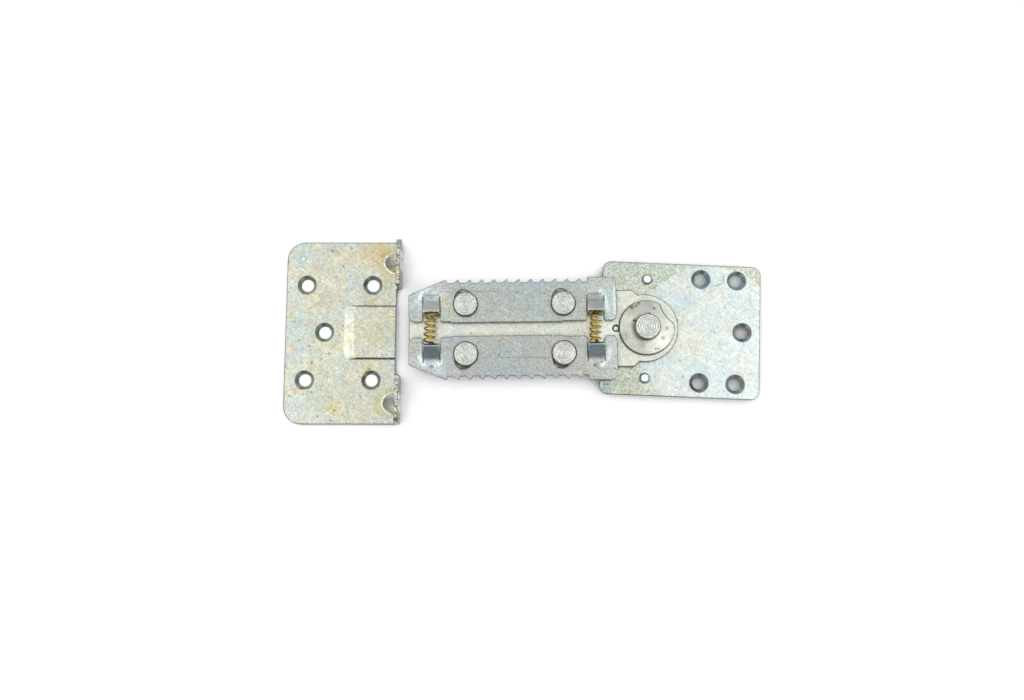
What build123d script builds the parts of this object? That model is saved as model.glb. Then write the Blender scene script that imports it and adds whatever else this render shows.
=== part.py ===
from build123d import *
import os
from math import atan2, cos, degrees, hypot, pi, radians, sin

# Sofa connector: a catch plate, and a mounting plate that carries a swivelling tongue
# with two sprung, toothed jaws. Millimetres, +Z out of the face that is screwed down.
# The origin is the centre of the mounting plate's four screws, on its underside.
# The tongue points along -X, towards the catch plate.

# Sheet, broken edges and fits
sheet = 2.0
edge_break = 0.25
slide_gap = 0.1
turn_gap = 0.08
seat_gap = 0.05
rivet_gap = 0.02

# Countersunk screw holes in both plates
screw_r = 3.0
sink_r = 4.5

# Mounting plate
mount_length = 75.0
mount_width = 63.4
mount_corner = 4.0
mount_edge = 19.9
mount_screws_x = 17.0
mount_screws_y = 49.3
mount_end_screw = 11.4
pivot_x = -34.0
stop_offset = 23.5
stop_r = 2.3
stop_height = 1.3
stop_chamfer = 0.5

# Tongue plate, measured from the pivot
rest_turn = 3.1
tongue_reach = 111.5
lobe_r = 16.0
lobe_setback = 1.0
neck_end = 6.1
neck_chamfer = 2.6
neck_inset = 0.75
dimple_x = 14.3
dimple_r = 1.8
dimple_depth = 0.7

# Jaws: their travel and their outline
jaw_travel_in = 3.1
jaw_travel_back = 1.1
closing_gap = 0.1
jaw_back = 14.0
nose_half = 16.5
ramp_length = 17.4
tip_half = 23.65
shoulder_step = 0.65
shoulder_x = 27.5
shoulder_round = 0.4
nose_round = 1.0
inner_front_round = 3.3
outer_back_round = 3.0
inner_back_round = 2.6
land_step = 0.45
land_setback = 20.0
land_back = 39.5

# Ratchet teeth
tooth_pitch = 5.72
tooth_depth = 1.65
tooth_steep = 0.95
tooth_rise = 2.0
tooth_tip = 0.2

# Studs that hold the jaws down and guide their slots
front_stud_setback = 26.8
rear_stud = 38.95
stud_y = 11.7
stud_r = 4.0
head_overlap = 1.8
stud_head = 1.8
stud_chamfer = 0.5
stud_neck_r = 3.0
stud_tail_r = 4.3
stud_tail = 1.2

# Lugs cut from the jaws and bent up to hold the springs
front_lug_setback = 10.8
rear_lug = 23.8
lug_root = 15.6
lug_width = 7.9
lug_side_gap = 0.15
lug_angle = 34.0
lug_bend_r = 4.0
lug_straight = 6.5
lug_end_round = 0.8
lug_edge_break = 0.2
notch_round = 1.0
nib_r = 0.8
nib_drop = 0.5
nib_length = 0.7

# Compression springs between the lugs
spring_r = 2.7
wire_r = 0.34
spring_pitch = 2.74
coil_steps = 16
wire_sides = 6

# Pivot rivet and its dished spring washer
pivot_r = 5.0
pivot_neck_r = 4.0
pivot_tail_r = 6.6
pivot_tail = 3.2
pivot_head_r = 6.4
pivot_head_draft = 0.35
pivot_head = 3.4
pivot_chamfer = 0.3
washer_r = 13.0
washer_sheet = 0.9
washer_dish = 1.2
break_upper_angle = 62.0
break_lower_angle = 12.0
break_depth = 2.4

# Catch plate, measured from the centre of its four screws
catch_x = -179.05
catch_y = -7.55
catch_turn = 2.3
catch_screws_x = 31.4
catch_screws_y = 45.5
catch_mid_screw = -6.8
catch_left = 25.4
catch_right = 27.0
catch_width = 87.2
catch_corner = 8.5
mouth_clearance = 0.35
flange_height = 12.8
flange_bend_r = 0.8
flange_outer_round = 4.2
flange_inner_round = 1.0
gusset_y = 33.7
gusset_reach = 6.4
gusset_r = 4.8
gusset_wall = 2.8
gusset_foot = 1.4
pad_half = 12.85
pad_left = 2.6
pad_ramp = 4.7
pad_side = 0.6
pad_rise = 1.0
pad_corner = 3.0

# Levels, from the screwed face upwards
floor_z = -pivot_tail
tongue_z = sheet + slide_gap
tongue_top = tongue_z + sheet
jaw_z = tongue_top + slide_gap
jaw_top = jaw_z + sheet
stud_head_z = jaw_top + slide_gap
washer_z = tongue_top + seat_gap
pivot_head_z = washer_z + washer_dish + washer_sheet + seat_gap

# Sizes that follow from the ones above
front_stud = tongue_reach - front_stud_setback
front_lug = tongue_reach - front_lug_setback
land_front = tongue_reach - land_setback
slot_r = stud_r + turn_gap
stud_head_r = slot_r + head_overlap
land_half = jaw_travel_in + closing_gap
inner_half = land_half + land_step
valley_half = tip_half - tooth_depth
shoulder_half = tip_half + shoulder_step
tongue_tip_half = nose_half - jaw_travel_in
neck_half = valley_half - jaw_travel_in - neck_inset
first_tip = tongue_reach - ramp_length
tooth_count = int((first_tip - shoulder_x) / tooth_pitch) + 1
mouth_half = tip_half - jaw_travel_in + mouth_clearance
lug_slope = radians(lug_angle)
lug_end_y = lug_root - lug_bend_r * sin(lug_slope) - lug_straight * cos(lug_slope)
lug_end_z = jaw_top + lug_bend_r * (1 - cos(lug_slope)) + lug_straight * sin(lug_slope)
spring_z = lug_end_z - sheet / 2 * cos(lug_slope)
spring_half = lug_end_y - sheet * sin(lug_slope) - seat_gap
flange_inner_x = catch_right + flange_bend_r
flange_outer_x = flange_inner_x + sheet

tongue_place = Pos(pivot_x, 0, 0) * Rot(0, 0, rest_turn)
catch_place = Pos(catch_x, catch_y, floor_z) * Rot(0, 0, catch_turn)


def screw_hole(x, y):
    """Cutter for a countersunk hole in a sheet that lies on z = 0."""
    sink_depth = sink_r - screw_r
    straight = Pos(x, y, sheet / 2) * Cylinder(screw_r, 2 * sheet)
    return straight + Pos(x, y, sheet - sink_depth / 2) * Cone(screw_r, sink_r, sink_depth)


def five_screw_holes(spacing_x, spacing_y, fifth_x):
    """Cutters for four holes around the origin and a fifth on the centre line."""
    holes = [screw_hole(fifth_x, 0)]
    for side_x in (-0.5, 0.5):
        for side_y in (-0.5, 0.5):
            holes.append(screw_hole(side_x * spacing_x, side_y * spacing_y))
    return holes


def break_rim(plate, kept=()):
    """Breaks the upper outline of a sheet on z = 0, as the press leaves it."""
    rim = plate.edges().filter_by_position(Axis.Z, sheet, sheet)
    return chamfer([edge for edge in rim if edge not in kept], edge_break)


def make_mounting_plate():
    """Flat plate with five screw holes, the pivot's hole and two half-sheared stops."""
    blank = RectangleRounded(mount_length, mount_width, mount_corner)
    plate = extrude(Pos(mount_edge - mount_length / 2, 0) * blank, sheet)
    plate = break_rim(plate)
    plate -= five_screw_holes(mount_screws_x, mount_screws_y, mount_end_screw)
    plate -= Pos(pivot_x, 0, sheet / 2) * Cylinder(pivot_neck_r + rivet_gap, 2 * sheet)
    slug = Pos(0, 0, stop_height / 2) * Cylinder(stop_r, stop_height)
    stop = chamfer(slug.edges().group_by(Axis.Z)[-1], stop_chamfer)
    for side in (-1, 1):
        plate += Pos(pivot_x, side * stop_offset, sheet) * stop
        plate -= Pos(pivot_x, side * stop_offset, 0) * slug
    return plate


def make_tongue_plate():
    """Tapered tongue ending in a round lobe on the pivot, with the studs' holes."""
    tip_taper = (neck_half - tongue_tip_half) * ramp_length / (tip_half - nose_half)
    upper = [
        (-tongue_reach, tongue_tip_half),
        (-tongue_reach + tip_taper, neck_half),
        (-neck_end, neck_half),
        (-neck_end + neck_chamfer, neck_half - neck_chamfer),
    ]
    lower = [(x, -y) for x, y in reversed(upper)]
    blank = make_face(Polyline(*upper, *lower, close=True)) + Pos(-lobe_setback, 0) * Circle(lobe_r)
    tongue = break_rim(extrude(blank, sheet))
    tongue -= Pos(0, 0, sheet / 2) * Cylinder(pivot_r + turn_gap, 2 * sheet)
    for stud_x in (front_stud, rear_stud):
        for side in (-1, 1):
            hole = Cylinder(stud_neck_r + rivet_gap, 2 * sheet)
            tongue -= Pos(-stud_x, side * stud_y, sheet / 2) * hole
    dimple = Cone(dimple_r - dimple_depth, dimple_r, dimple_depth)
    tongue -= Pos(-dimple_x, 0, sheet - dimple_depth / 2) * dimple
    return tongue_place * Pos(0, 0, tongue_z) * tongue


def tooth_gap(tip_x):
    """Gap behind one tooth tip: a steep back, a flat floor and a long rise."""
    back_x = tip_x + tooth_tip
    next_x = tip_x + tooth_pitch
    corners = [
        (back_x, shoulder_half),
        (back_x, tip_half),
        (back_x + tooth_steep, valley_half),
        (next_x - tooth_rise, valley_half),
        (next_x, tip_half),
        (next_x, shoulder_half),
    ]
    return make_face(Polyline(*corners, close=True))


def last_tooth_gap(tip_x):
    """Gap behind the last tip, closed by the step up to the jaw's shoulder."""
    back_x = tip_x + tooth_tip
    corners = [
        (back_x, shoulder_half),
        (back_x, tip_half),
        (back_x + tooth_steep, valley_half),
        (-shoulder_x, valley_half),
        (-shoulder_x, shoulder_half),
    ]
    return make_face(Polyline(*corners, close=True))


def stud_slot(stud_x):
    """Slanted slot: the stud rests in one end, and the jaw's travel brings the other to it."""
    travel = hypot(jaw_travel_in, jaw_travel_back)
    slant = degrees(atan2(jaw_travel_in, -jaw_travel_back))
    middle = Pos(-stud_x - jaw_travel_back / 2, stud_y + jaw_travel_in / 2)
    return middle * Rot(0, 0, slant) * SlotCenterToCenter(travel, 2 * slot_r)


def lug_notch(lug_x):
    """Opening that the lug is cut and bent out of, with rounded mouth corners."""
    half_width = lug_width / 2 + lug_side_gap
    notch = Pos(-lug_x, lug_root / 2) * Rectangle(2 * half_width, lug_root)
    for side in (-1, 1):
        edge_x = -lug_x + side * half_width
        centre = Pos(edge_x + side * notch_round, inner_half + notch_round)
        mouth = Pos(edge_x + side * notch_round / 2, inner_half + notch_round / 2)
        notch += mouth * Rectangle(notch_round, notch_round) - centre * Circle(notch_round)
    return notch


def make_jaw_blank():
    """Flat outline of the upper jaw: nose ramp, ratchet teeth, slots and lug notches."""
    outline = [
        (-tongue_reach, inner_half, inner_front_round),
        (-tongue_reach, nose_half, nose_round),
        (-first_tip, tip_half, 0),
        (-shoulder_x, tip_half, 0),
        (-shoulder_x, shoulder_half, shoulder_round),
        (-jaw_back, shoulder_half, outer_back_round),
        (-jaw_back, inner_half, inner_back_round),
    ]
    blank = make_face(Polyline(*[(x, y) for x, y, radius in outline], close=True))
    for x, y, radius in outline:
        if radius:
            corner = blank.vertices().sort_by_distance((x, y, 0))[0]
            blank = fillet(corner, radius)
    land = Rectangle(land_front - land_back, 2 * land_step)
    blank += Pos(-(land_front + land_back) / 2, inner_half) * land
    for index in range(tooth_count - 1):
        blank -= tooth_gap(-first_tip + index * tooth_pitch)
    blank -= last_tooth_gap(-first_tip + (tooth_count - 1) * tooth_pitch)
    for stud_x in (front_stud, rear_stud):
        blank -= stud_slot(stud_x)
    for lug_x in (front_lug, rear_lug):
        blank -= lug_notch(lug_x)
    return blank


def make_lug():
    """One lug in side view, extruded: a bend and a straight slope, with a nib in the spring."""
    outer_r = lug_bend_r + sheet

    def on_bend(radius, angle):
        return (lug_root - radius * sin(angle), jaw_top + lug_bend_r - radius * cos(angle))

    def beyond(point, length):
        return (point[0] - length * cos(lug_slope), point[1] + length * sin(lug_slope))

    top_bend = on_bend(lug_bend_r, lug_slope)
    low_bend = on_bend(outer_r, lug_slope)
    top_end = beyond(top_bend, lug_straight)
    low_end = beyond(low_bend, lug_straight)
    section = make_face(
        [
            ThreePointArc(on_bend(lug_bend_r, 0), on_bend(lug_bend_r, lug_slope / 2), top_bend),
            Polyline(top_bend, top_end, low_end, low_bend),
            ThreePointArc(low_bend, on_bend(outer_r, lug_slope / 2), on_bend(outer_r, 0)),
            Line(on_bend(outer_r, 0), on_bend(lug_bend_r, 0)),
        ]
    )
    lug = extrude(Plane.YZ * section, lug_width / 2, both=True)
    across = Axis((0, 0, 0), (0, sin(lug_slope), cos(lug_slope)))
    lug = fillet(lug.edges().filter_by(across).group_by(Axis.Y)[0], lug_end_round)
    slopes = [face for face in lug.faces().filter_by(GeomType.PLANE) if face.normal_at().Z > 0.5]
    slope = ShapeList(slopes).sort_by(Axis.Z)[0]
    lug = chamfer(slope.edges().sort_by(Axis.Z)[1:], lug_edge_break)
    nib_end = spring_half - nib_length
    nib = Rot(90, 0, 0) * Cylinder(nib_r, lug_end_y - nib_end)
    return lug + Pos(0, (nib_end + lug_end_y) / 2, spring_z - nib_drop) * nib


def make_upper_jaw():
    """The jaw on the +Y side, in the tongue's frame."""
    jaw = Pos(0, 0, jaw_z) * extrude(make_jaw_blank(), sheet)
    lug = make_lug()
    for lug_x in (front_lug, rear_lug):
        jaw += Pos(-lug_x, 0, 0) * lug
    return jaw


def make_stud():
    """Shouldered stud: a tail riveted under the tongue, a guide and a turned head."""
    head_top = stud_head_z + stud_head
    profile = [
        (0, tongue_z - stud_tail),
        (stud_tail_r, tongue_z - stud_tail),
        (stud_tail_r, tongue_z),
        (stud_neck_r, tongue_z),
        (stud_neck_r, tongue_top),
        (stud_r, tongue_top),
        (stud_r, stud_head_z),
        (stud_head_r, stud_head_z),
        (stud_head_r, head_top - stud_chamfer),
        (stud_head_r - stud_chamfer, head_top),
        (0, head_top),
    ]
    return revolve(Plane.XZ * make_face(Polyline(*profile, close=True)), Axis.Z)


def make_pivot_rivet():
    """Pivot: a tail under the plate, a neck in it, a bearing and a spun head."""
    head_top = pivot_head_z + pivot_head
    top_r = pivot_head_r - pivot_head_draft
    profile = [
        (0, floor_z),
        (pivot_tail_r, floor_z),
        (pivot_tail_r, 0),
        (pivot_neck_r, 0),
        (pivot_neck_r, sheet),
        (pivot_r, sheet),
        (pivot_r, pivot_head_z),
        (pivot_head_r, pivot_head_z),
        (top_r, head_top - pivot_chamfer),
        (top_r - pivot_chamfer, head_top),
        (0, head_top),
    ]
    rivet = revolve(Plane.XZ * make_face(Polyline(*profile, close=True)), Axis.Z)
    return Pos(pivot_x, 0, 0) * rivet


def make_spring_washer():
    """Dished washer with a piece broken out of its rim, as on the real one."""
    bore = pivot_r + turn_gap
    profile = [
        (washer_r, washer_z),
        (washer_r, washer_z + washer_sheet),
        (bore, washer_z + washer_dish + washer_sheet),
        (bore, washer_z + washer_dish),
    ]
    washer = revolve(Plane.XZ * make_face(Polyline(*profile, close=True)), Axis.Z)

    def at(radius, angle):
        return (radius * cos(radians(angle)), radius * sin(radians(angle)))

    middle_angle = (break_upper_angle + break_lower_angle) / 2
    broken_edge = ThreePointArc(
        at(washer_r, break_upper_angle),
        at(washer_r - break_depth, middle_angle),
        at(washer_r, break_lower_angle),
    )
    outside = Polyline(broken_edge @ 1, at(2 * washer_r, middle_angle), broken_edge @ 0)
    missing = extrude(make_face([broken_edge, outside]), washer_z + washer_dish + washer_sheet)
    return Pos(pivot_x, 0, 0) * (washer - missing)


def make_spring():
    """Open right-hand coil between the two lugs, with its ends cut square."""
    length = 2 * spring_half
    coiled = length + 4 * wire_r
    turns = coiled / spring_pitch
    steps = int(turns * coil_steps)
    points = []
    for step in range(steps + 1):
        share = step / steps
        turn = 2 * pi * turns * share
        points.append((spring_r * sin(turn), (share - 0.5) * coiled, spring_r * cos(turn)))
    path = Polyline(*points)
    wire = Plane(origin=path @ 0, z_dir=path % 0) * RegularPolygon(wire_r, wire_sides)
    coil = sweep(wire, path=path, transition=Transition.RIGHT)
    return Pos(0, 0, spring_z) * (coil & Box(4 * spring_r, length, 4 * spring_r))


def make_pad():
    """Raised panel of the catch plate: a long ramp at its left and steep sides."""
    overrun = 2 * pad_corner
    foot_length = catch_right - pad_left + overrun
    top_length = foot_length - pad_ramp
    foot = RectangleRounded(foot_length, 2 * pad_half, pad_corner)
    top = RectangleRounded(top_length, 2 * (pad_half - pad_side), pad_corner - pad_side)
    right_end = catch_right + overrun
    pad = loft(
        [
            Pos(right_end - foot_length / 2, 0, sheet) * foot,
            Pos(right_end - top_length / 2, 0, sheet + pad_rise) * top,
        ]
    )
    past_edge = Pos(catch_right + overrun, 0, sheet) * Box(2 * overrun, 4 * pad_half, 4 * sheet)
    return pad - past_edge


def make_flange():
    """Flange on the +Y side, bent up from the plate's right edge."""
    outer_r = flange_bend_r + sheet

    def on_bend(radius, angle):
        return (catch_right + radius * sin(angle), outer_r - radius * cos(angle))

    def bend(radius, start, end):
        middle = (start + end) / 2
        return ThreePointArc(on_bend(radius, start), on_bend(radius, middle), on_bend(radius, end))

    inside = bend(flange_bend_r, 0, pi / 2)
    outside = bend(outer_r, pi / 2, 0)
    inner_top = (flange_inner_x, flange_height)
    outer_top = (flange_outer_x, flange_height)
    wall = Polyline(inside @ 1, inner_top, outer_top, outside @ 0)
    section = make_face([inside, wall, outside, Line(outside @ 1, inside @ 0)])
    width = catch_width / 2 - mouth_half
    flange = extrude(Plane.XZ * section, width / 2, both=True)
    for end, radius in ((0, flange_inner_round), (-1, flange_outer_round)):
        top_corners = flange.edges().filter_by(Axis.X).group_by(Axis.Z)[-1].sort_by(Axis.Y)
        flange = fillet(top_corners[end], radius)
    return Pos(0, mouth_half + width / 2, 0) * flange


def gusset_rod(radius):
    """Rod lying at 45 degrees across the flange's bend, whose crest is the gusset's."""
    shift = gusset_r * cos(radians(45)) - gusset_reach / 2
    rod = Rot(0, 45, 0) * Cylinder(radius, 4 * gusset_reach)
    return Pos(flange_inner_x + shift, gusset_y, sheet - shift) * rod


def make_gusset():
    """Gusset in the corner between plate and flange, with a rounded foot on the plate."""
    size = 2 * gusset_reach
    block = Box(size, 4 * gusset_r, size, align=(Align.MAX, Align.CENTER, Align.MIN))
    inner_corner = Pos(flange_inner_x, gusset_y, sheet) * block
    under = Pos(0, 0, -size) * inner_corner
    footed = under + (gusset_rod(gusset_r) & inner_corner)
    curves = footed.edges().filter_by(GeomType.ELLIPSE)
    feet = curves.filter_by_position(Axis.Z, sheet - seat_gap, sheet + seat_gap)
    return fillet(feet, gusset_foot) & inner_corner


def make_catch_plate():
    """Catch plate: two flanges that the jaws' teeth hook behind, and a raised panel."""
    length = catch_left + catch_right
    blank = Pos(catch_right - length / 2, 0) * Rectangle(length, catch_width)
    blank = fillet(blank.vertices().group_by(Axis.X)[0], catch_corner)
    plate = extrude(blank, sheet)
    flange_edge = plate.edges().filter_by_position(Axis.X, catch_right, catch_right)
    plate = break_rim(plate, flange_edge)
    pad = make_pad()
    plate += pad
    plate -= Pos(0, 0, -sheet) * pad
    plate -= five_screw_holes(catch_screws_x, catch_screws_y, catch_mid_screw)
    flange = make_flange() + make_gusset()
    hollow = gusset_rod(gusset_r - gusset_wall)
    plate += flange
    plate += mirror(flange, about=Plane.XZ)
    plate -= hollow
    plate -= mirror(hollow, about=Plane.XZ)
    return catch_place * plate


def main():
    os.makedirs("parts", exist_ok=True)
    upper_jaw = make_upper_jaw()
    pieces = {
        "mounting_plate": make_mounting_plate(),
        "tongue_plate": make_tongue_plate(),
        "upper_jaw": tongue_place * upper_jaw,
        "lower_jaw": tongue_place * mirror(upper_jaw, about=Plane.XZ),
        "pivot_rivet": make_pivot_rivet(),
        "spring_washer": make_spring_washer(),
        "catch_plate": make_catch_plate(),
    }
    stud = make_stud()
    for stud_x, end in ((front_stud, "front"), (rear_stud, "rear")):
        for side, half in ((1, "upper"), (-1, "lower")):
            place = tongue_place * Pos(-stud_x, side * stud_y, 0)
            pieces[f"{half}_{end}_stud"] = place * stud
    spring = make_spring()
    for lug_x, end in ((front_lug, "front"), (rear_lug, "rear")):
        pieces[f"{end}_spring"] = tongue_place * Pos(-lug_x, 0, 0) * spring
    for name, piece in pieces.items():
        export_step(piece, os.path.join("parts", f"{name}.step"))


main()
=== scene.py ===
"""Looks of the sofa connector: plated sheet, turned studs and coiled springs on a pale table."""

import math

import bpy
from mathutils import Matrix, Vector


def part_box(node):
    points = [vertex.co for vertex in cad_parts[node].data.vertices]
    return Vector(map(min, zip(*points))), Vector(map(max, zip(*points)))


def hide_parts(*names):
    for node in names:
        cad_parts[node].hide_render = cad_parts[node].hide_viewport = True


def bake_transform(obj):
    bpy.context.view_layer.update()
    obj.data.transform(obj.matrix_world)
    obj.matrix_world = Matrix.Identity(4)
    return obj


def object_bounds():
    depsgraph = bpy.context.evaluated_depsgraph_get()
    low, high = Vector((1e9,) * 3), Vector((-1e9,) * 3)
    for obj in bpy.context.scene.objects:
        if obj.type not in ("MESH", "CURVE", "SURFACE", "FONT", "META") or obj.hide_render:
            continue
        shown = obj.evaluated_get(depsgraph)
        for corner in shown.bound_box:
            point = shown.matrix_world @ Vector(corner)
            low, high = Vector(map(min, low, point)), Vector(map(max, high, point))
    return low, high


bl_info = {
    "name": "Sofa connector looks",
    "version": (1, 0, 0),
    "blender": (4, 5, 0),
    "location": "3D View > Sidebar > Connector",
    "description": "Dresses the two halves of a sofa connector and lights them on a pale table",
    "category": "Object",
}

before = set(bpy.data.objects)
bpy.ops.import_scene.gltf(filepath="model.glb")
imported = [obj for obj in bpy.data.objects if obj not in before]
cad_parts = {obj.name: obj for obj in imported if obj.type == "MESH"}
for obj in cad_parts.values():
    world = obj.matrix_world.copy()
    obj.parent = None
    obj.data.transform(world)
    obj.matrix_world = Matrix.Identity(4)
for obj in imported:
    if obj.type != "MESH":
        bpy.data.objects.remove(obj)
CAD_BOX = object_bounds()

MM = 0.001
PIVOT_X = -34 * MM
REST_TURN = math.radians(3.1)
STUDS = ("upper_front_stud", "lower_front_stud", "upper_rear_stud", "lower_rear_stud")

# Millimetres along or across the tongue, from the pivot
LUGS_ALONG = (100.7, 23.8)
DENTS_ACROSS = 17.4
NIBS_ACROSS = 6.7

# The round bite out of the washer's rim, in millimetres from the pivot
BREAK_CENTRE = (19.15, 14.43)
BREAK_RADIUS = 13.38

# Places in millimetres in the row frame
GUSSETS = ((-154.5, 26.9), (-152.0, -40.2))
CLEAN_CENTRE = (-3, -4)

# Start and end of a soft step, as a height or as a distance from a centre
STOP_TOPS = (2.7 * MM, 3.1 * MM)
LUGS_RISE = (6.6 * MM, 7.4 * MM)
LUG_ENDS = (8.0 * MM, 9.5 * MM)
FLANGE_TOPS = (8.4 * MM, 8.8 * MM)
CLEAN_RADIUS = (35.4 * MM, 36.6 * MM)
GUSSET_RADIUS = (5.5 * MM, 6.5 * MM)
NIB_RADIUS = (1.0 * MM, 1.4 * MM)
BORE_RING = (8.4 * MM, 6.4 * MM)
WORN_RIM = (11.9 * MM, 12.6 * MM)
RIM_OUTLINE = (12.35 * MM, 12.7 * MM)
BREAK_LIP = ((BREAK_RADIUS + 0.15) * MM, (BREAK_RADIUS + 0.6) * MM)

# Directions around the washer
TO_LEFT = (-0.97, -0.24, 0)
TO_LOWER_LEFT = (-0.72, -0.69, 0)
ALONG_FAN = (0.64, -0.77, 0)

# Tints, which multiply a shade
COOL = (0.93, 1.0, 1.05)
WARM = (1.06, 1.01, 0.88)
PALE = (1.02, 1.01, 0.97)
DUSK = (0.99, 0.94, 0.97)
YELLOW = (1.0, 0.86, 0.60)
PURPLE = (0.88, 0.80, 0.86)
BLUE = (0.82, 0.93, 1.0)
GREY = (0.72, 0.74, 0.70)
DARK = (0.45, 0.45, 0.42)
SOOT = (0.08, 0.07, 0.06)
RUST = (0.34, 0.24, 0.12)
# Painted shade: the dark of the nibs under the coils and of the washer rim's shadowed lower left
DEEP_SHADE = (0.16, 0.15, 0.13)
# Painted shade for soft edges
EDGE_SHADE = (0.17, 0.19, 0.20)

# Painted highlight: colour of the gussets' steep faces
GUSSET_GLINT = (0.70, 0.735, 0.70, 1)

# Streaks in all plating: heading in degrees, seed, tint
STREAKS = (
    (28, 1.7, (1.20, 1.20, 1.18)),
    (-38, 4.1, (1.18, 1.13, 0.98)),
    (75, 7.3, (0.84, 0.88, 0.92)),
)

# Rings around each gusset: radius and width in millimetres, tint. The narrow bright ring is a
# painted highlight at the gusset's foot; the wide one is a yellow tint.
GUSSET_GLINT_AND_TINT_RINGS = (
    (4.9, 0.5, (1.30, 1.30, 1.25)),
    (6.9, 2.6, (0.97, 0.90, 0.74)),
)

# Stains: x, y and radius in millimetres in the row frame, tint, strength
CATCH_STAINS = (
    (-161, 33.2, 6, YELLOW, 0.7),
    (-165.7, 31, 9, YELLOW, 0.45),
    (-186.2, 7.7, 5.5, PURPLE, 0.8),
    (-179.9, -43.5, 5, YELLOW, 0.7),
    (-161.8, -8.1, 7, YELLOW, 0.5),
    (-157.6, 0.3, 5, YELLOW, 0.35),
    (-155.5, -10.2, 4, BLUE, 0.5),
    (-159.8, -41.3, 8, BLUE, 0.4),
    (-190.8, -22.2, 0.9, DARK, 0.9),
    (-183.5, 32.2, 3.4, GREY, 0.7),
    (-165, 8.6, 6, YELLOW, 0.6),
    (-164, -25, 4.5, YELLOW, 0.5),
    (-199, 30, 9, BLUE, 0.6),
    (-198, -6, 13, BLUE, 0.7),
    (-186, -38, 12, BLUE, 0.8),
    (-170, -36, 7, BLUE, 0.5),
    (-200, -20, 6, PURPLE, 0.35),
)
MOUNTING_STAINS = (
    (-20, 6, 7, YELLOW, 0.22),
    (-11, -9, 8, YELLOW, 0.22),
    (-14, 14, 5, BLUE, 0.5),
    (-9, -20, 8, BLUE, 0.35),
    (-20, -9, 4, YELLOW, 0.3),
    (-51.4, -28.0, 5, (0.66, 0.76, 0.86), 1.0),
    (-50.5, 27.5, 4, (0.90, 1.0, 1.12), 1.0),
    (-42, -26, 10, GREY, 0.5),
    (-6, 24, 7, BLUE, 0.4),
    (6, 0, 9, PALE, 0.6),
)
TONGUE_STAINS = ((-50.0, -1.0, 8, (1.14, 1.15, 1.16), 1.0),)
WASHER_STAINS_AND_SHEEN = (
    (-33.0, 6.6, 0.8, SOOT, 1.0),
    (-40.1, 3.0, 0.9, SOOT, 0.9),
    (-30.8, 9.2, 0.8, SOOT, 0.9),
    (-24.7, 0.1, 1.2, DARK, 0.7),
    (-26.3, -4.7, 1.4, DARK, 0.85),
    (-29.5, -9.8, 0.6, SOOT, 0.9),
    (-28.1, -9.6, 0.5, SOOT, 0.9),
    (-35.7, -8.4, 1.6, DARK, 0.3),
    # The next four are painted light: highlights below and right of the pivot, shade to its left
    (-33.4, -10.4, 3.0, (1.10, 1.10, 1.09), 1.0),
    (-23.8, 3.4, 3.0, (1.16, 1.15, 1.10), 1.0),
    (-44.2, -4.4, 3.2, (0.74, 0.74, 0.70), 1.0),
    (-41.8, 8.0, 3.6, (0.84, 0.83, 0.76), 1.0),
    (-41.2, 9.4, 1.5, RUST, 0.9),
    (-39.2, 10.1, 1.1, RUST, 0.8),
    (-38.1, 11.4, 1.1, RUST, 0.8),
)

# Scratches: start, end and width in millimetres in the row frame, tint
SCRATCHES = (
    ((-2.0, 21.5), (2.6, 23.6), 0.5, (0.55, 0.55, 0.55)),
    ((2.6, 23.6), (2.0, 27.0), 0.5, (0.55, 0.55, 0.55)),
    ((4.0, 14.5), (9.0, 11.0), 0.4, (0.7, 0.7, 0.66)),
)

# Patches on both jaws: along, across and reach each way in millimetres in the tongue's frame, tint.
# The bluish brightening at the nose and at the rear end is a painted sheen where the sheet is
# dished; the long patch along the outer edge is a bluish tint.
JAW_SHEENS_AND_TINTS = (
    (101, 14.5, 11, 9, (1.16, 1.25, 1.36)),
    (62, 22.5, 36, 4, (0.93, 1.0, 1.12)),
    (17.5, 12, 8, 13, (1.16, 1.22, 1.28)),
)

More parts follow.
